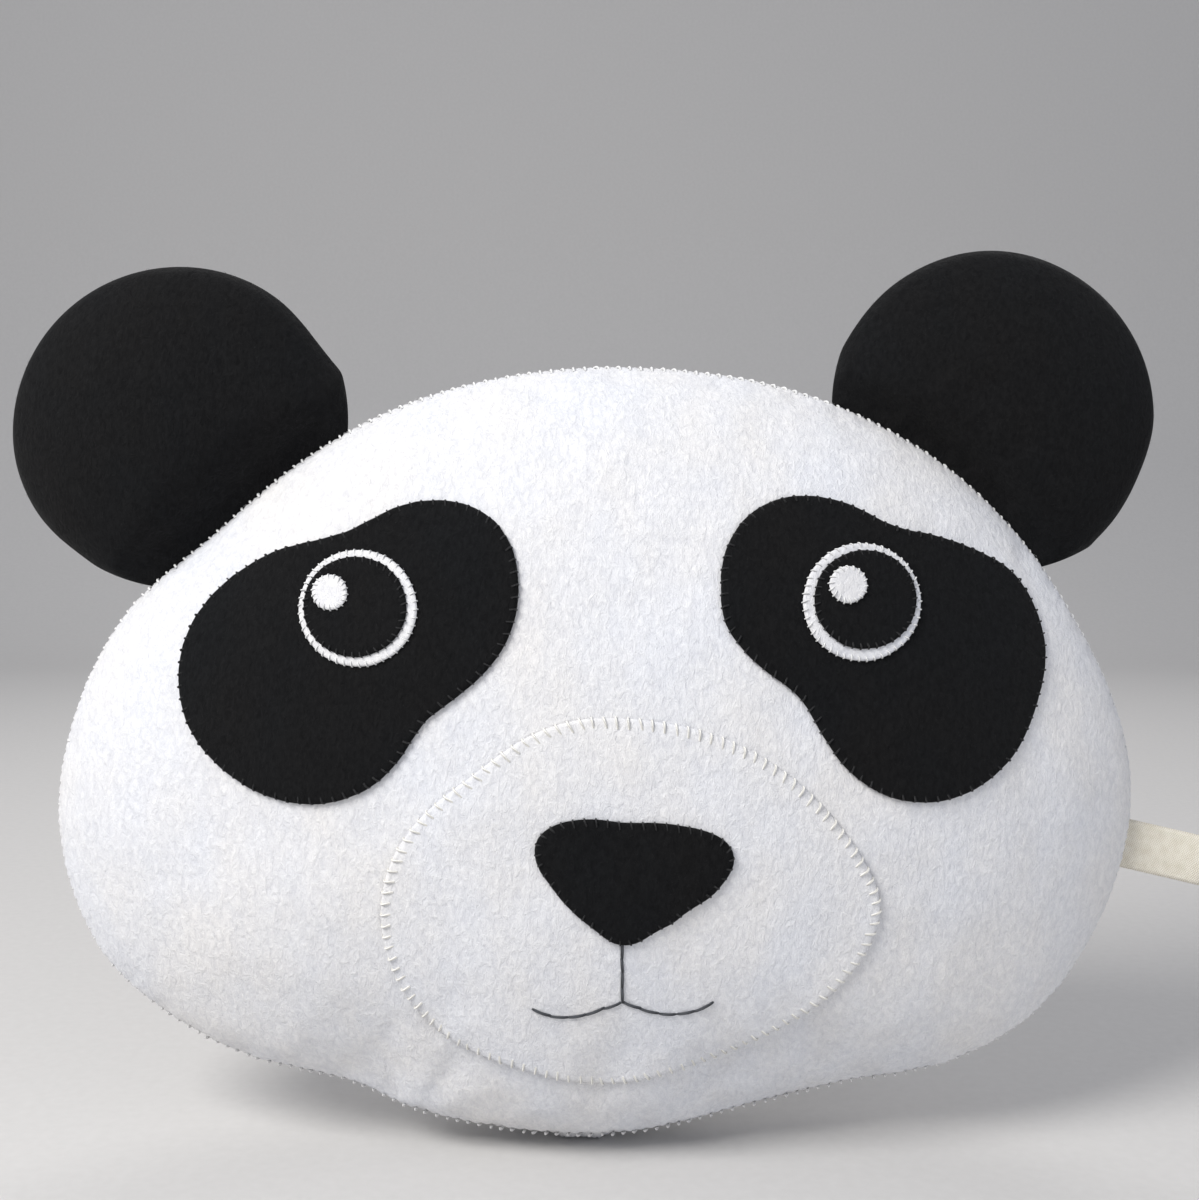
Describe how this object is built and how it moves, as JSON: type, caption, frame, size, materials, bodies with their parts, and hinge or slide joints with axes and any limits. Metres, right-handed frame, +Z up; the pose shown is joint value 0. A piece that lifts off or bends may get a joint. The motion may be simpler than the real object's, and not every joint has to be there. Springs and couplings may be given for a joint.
{
  "type": "plush panda head cushion",
  "caption": "Flat stuffed felt cushion shaped like a panda's head, with sewn-on face pieces, round stuffed ears and a folded tape label.",
  "frame": {"origin": "On the surface the chin rests on, below the middle of the outline from ear edge to label tip and midway between front and back.", "axes": "+Z up from the chin to the ears, -Y the way the face looks, +X to the viewer's right, towards the label."},
  "size_m": [0.3361, 0.0945, 0.2487],
  "materials": {
    "white_felt": "matt wool felt, softly mottled nap",
    "black_felt": "matt black wool felt with fine stray fibres",
    "stuffing": "loose white polyester fibre",
    "white_thread": "twisted white sewing thread",
    "cream_thread": "twisted cream sewing thread",
    "black_thread": "twisted black sewing thread",
    "grey_thread": "dark grey embroidery thread",
    "cotton_tape": "unbleached woven cotton tape"
  },
  "bodies": {
    "head": {"head_front": "white_felt", "head_back": "white_felt", "head_stuffing": "stuffing", "head_seam_stitches": "white_thread", "left_eye_patch": "black_felt", "left_eye_patch_stitches": "black_thread", "left_eye_white": "white_felt", "left_eye_white_stitches": "white_thread", "left_pupil": "black_felt", "left_pupil_stitches": "black_thread", "left_eye_spot": "white_felt", "left_eye_spot_stitches": "white_thread", "right_eye_patch": "black_felt", "right_eye_patch_stitches": "black_thread", "right_eye_white": "white_felt", "right_eye_white_stitches": "white_thread", "right_pupil": "black_felt", "right_pupil_stitches": "black_thread", "right_eye_spot": "white_felt", "right_eye_spot_stitches": "white_thread", "muzzle": "white_felt", "muzzle_stitches": "cream_thread", "nose": "black_felt", "nose_stitches": "black_thread", "mouth_stitches": "grey_thread"},
    "left_ear": {"left_ear_front": "black_felt", "left_ear_back": "black_felt", "left_ear_stuffing": "stuffing"},
    "right_ear": {"right_ear_front": "black_felt", "right_ear_back": "black_felt", "right_ear_stuffing": "stuffing"},
    "label": {"label": "cotton_tape"}
  },
  "joints": [
    {"name": "left_ear_fold", "type": "hinge", "parent": "head", "child": "left_ear", "pos_m": [-0.1035, 0, 0.1833], "axis": [0.7883, 0, 0.6153], "range_deg": [-45, 45], "stiffness_Nm_per_rad": 0.05},
    {"name": "right_ear_fold", "type": "hinge", "parent": "head", "child": "right_ear", "pos_m": [0.0981, 0, 0.189], "axis": [0.7808, 0, -0.6248], "range_deg": [-45, 45], "stiffness_Nm_per_rad": 0.05},
    {"name": "label_flap", "type": "hinge", "parent": "head", "child": "label", "pos_m": [0.1476, 0, 0.0825], "axis": [0.2251, 0, 0.9743], "range_deg": [-80, 80], "stiffness_Nm_per_rad": 0.0001}
  ]
}
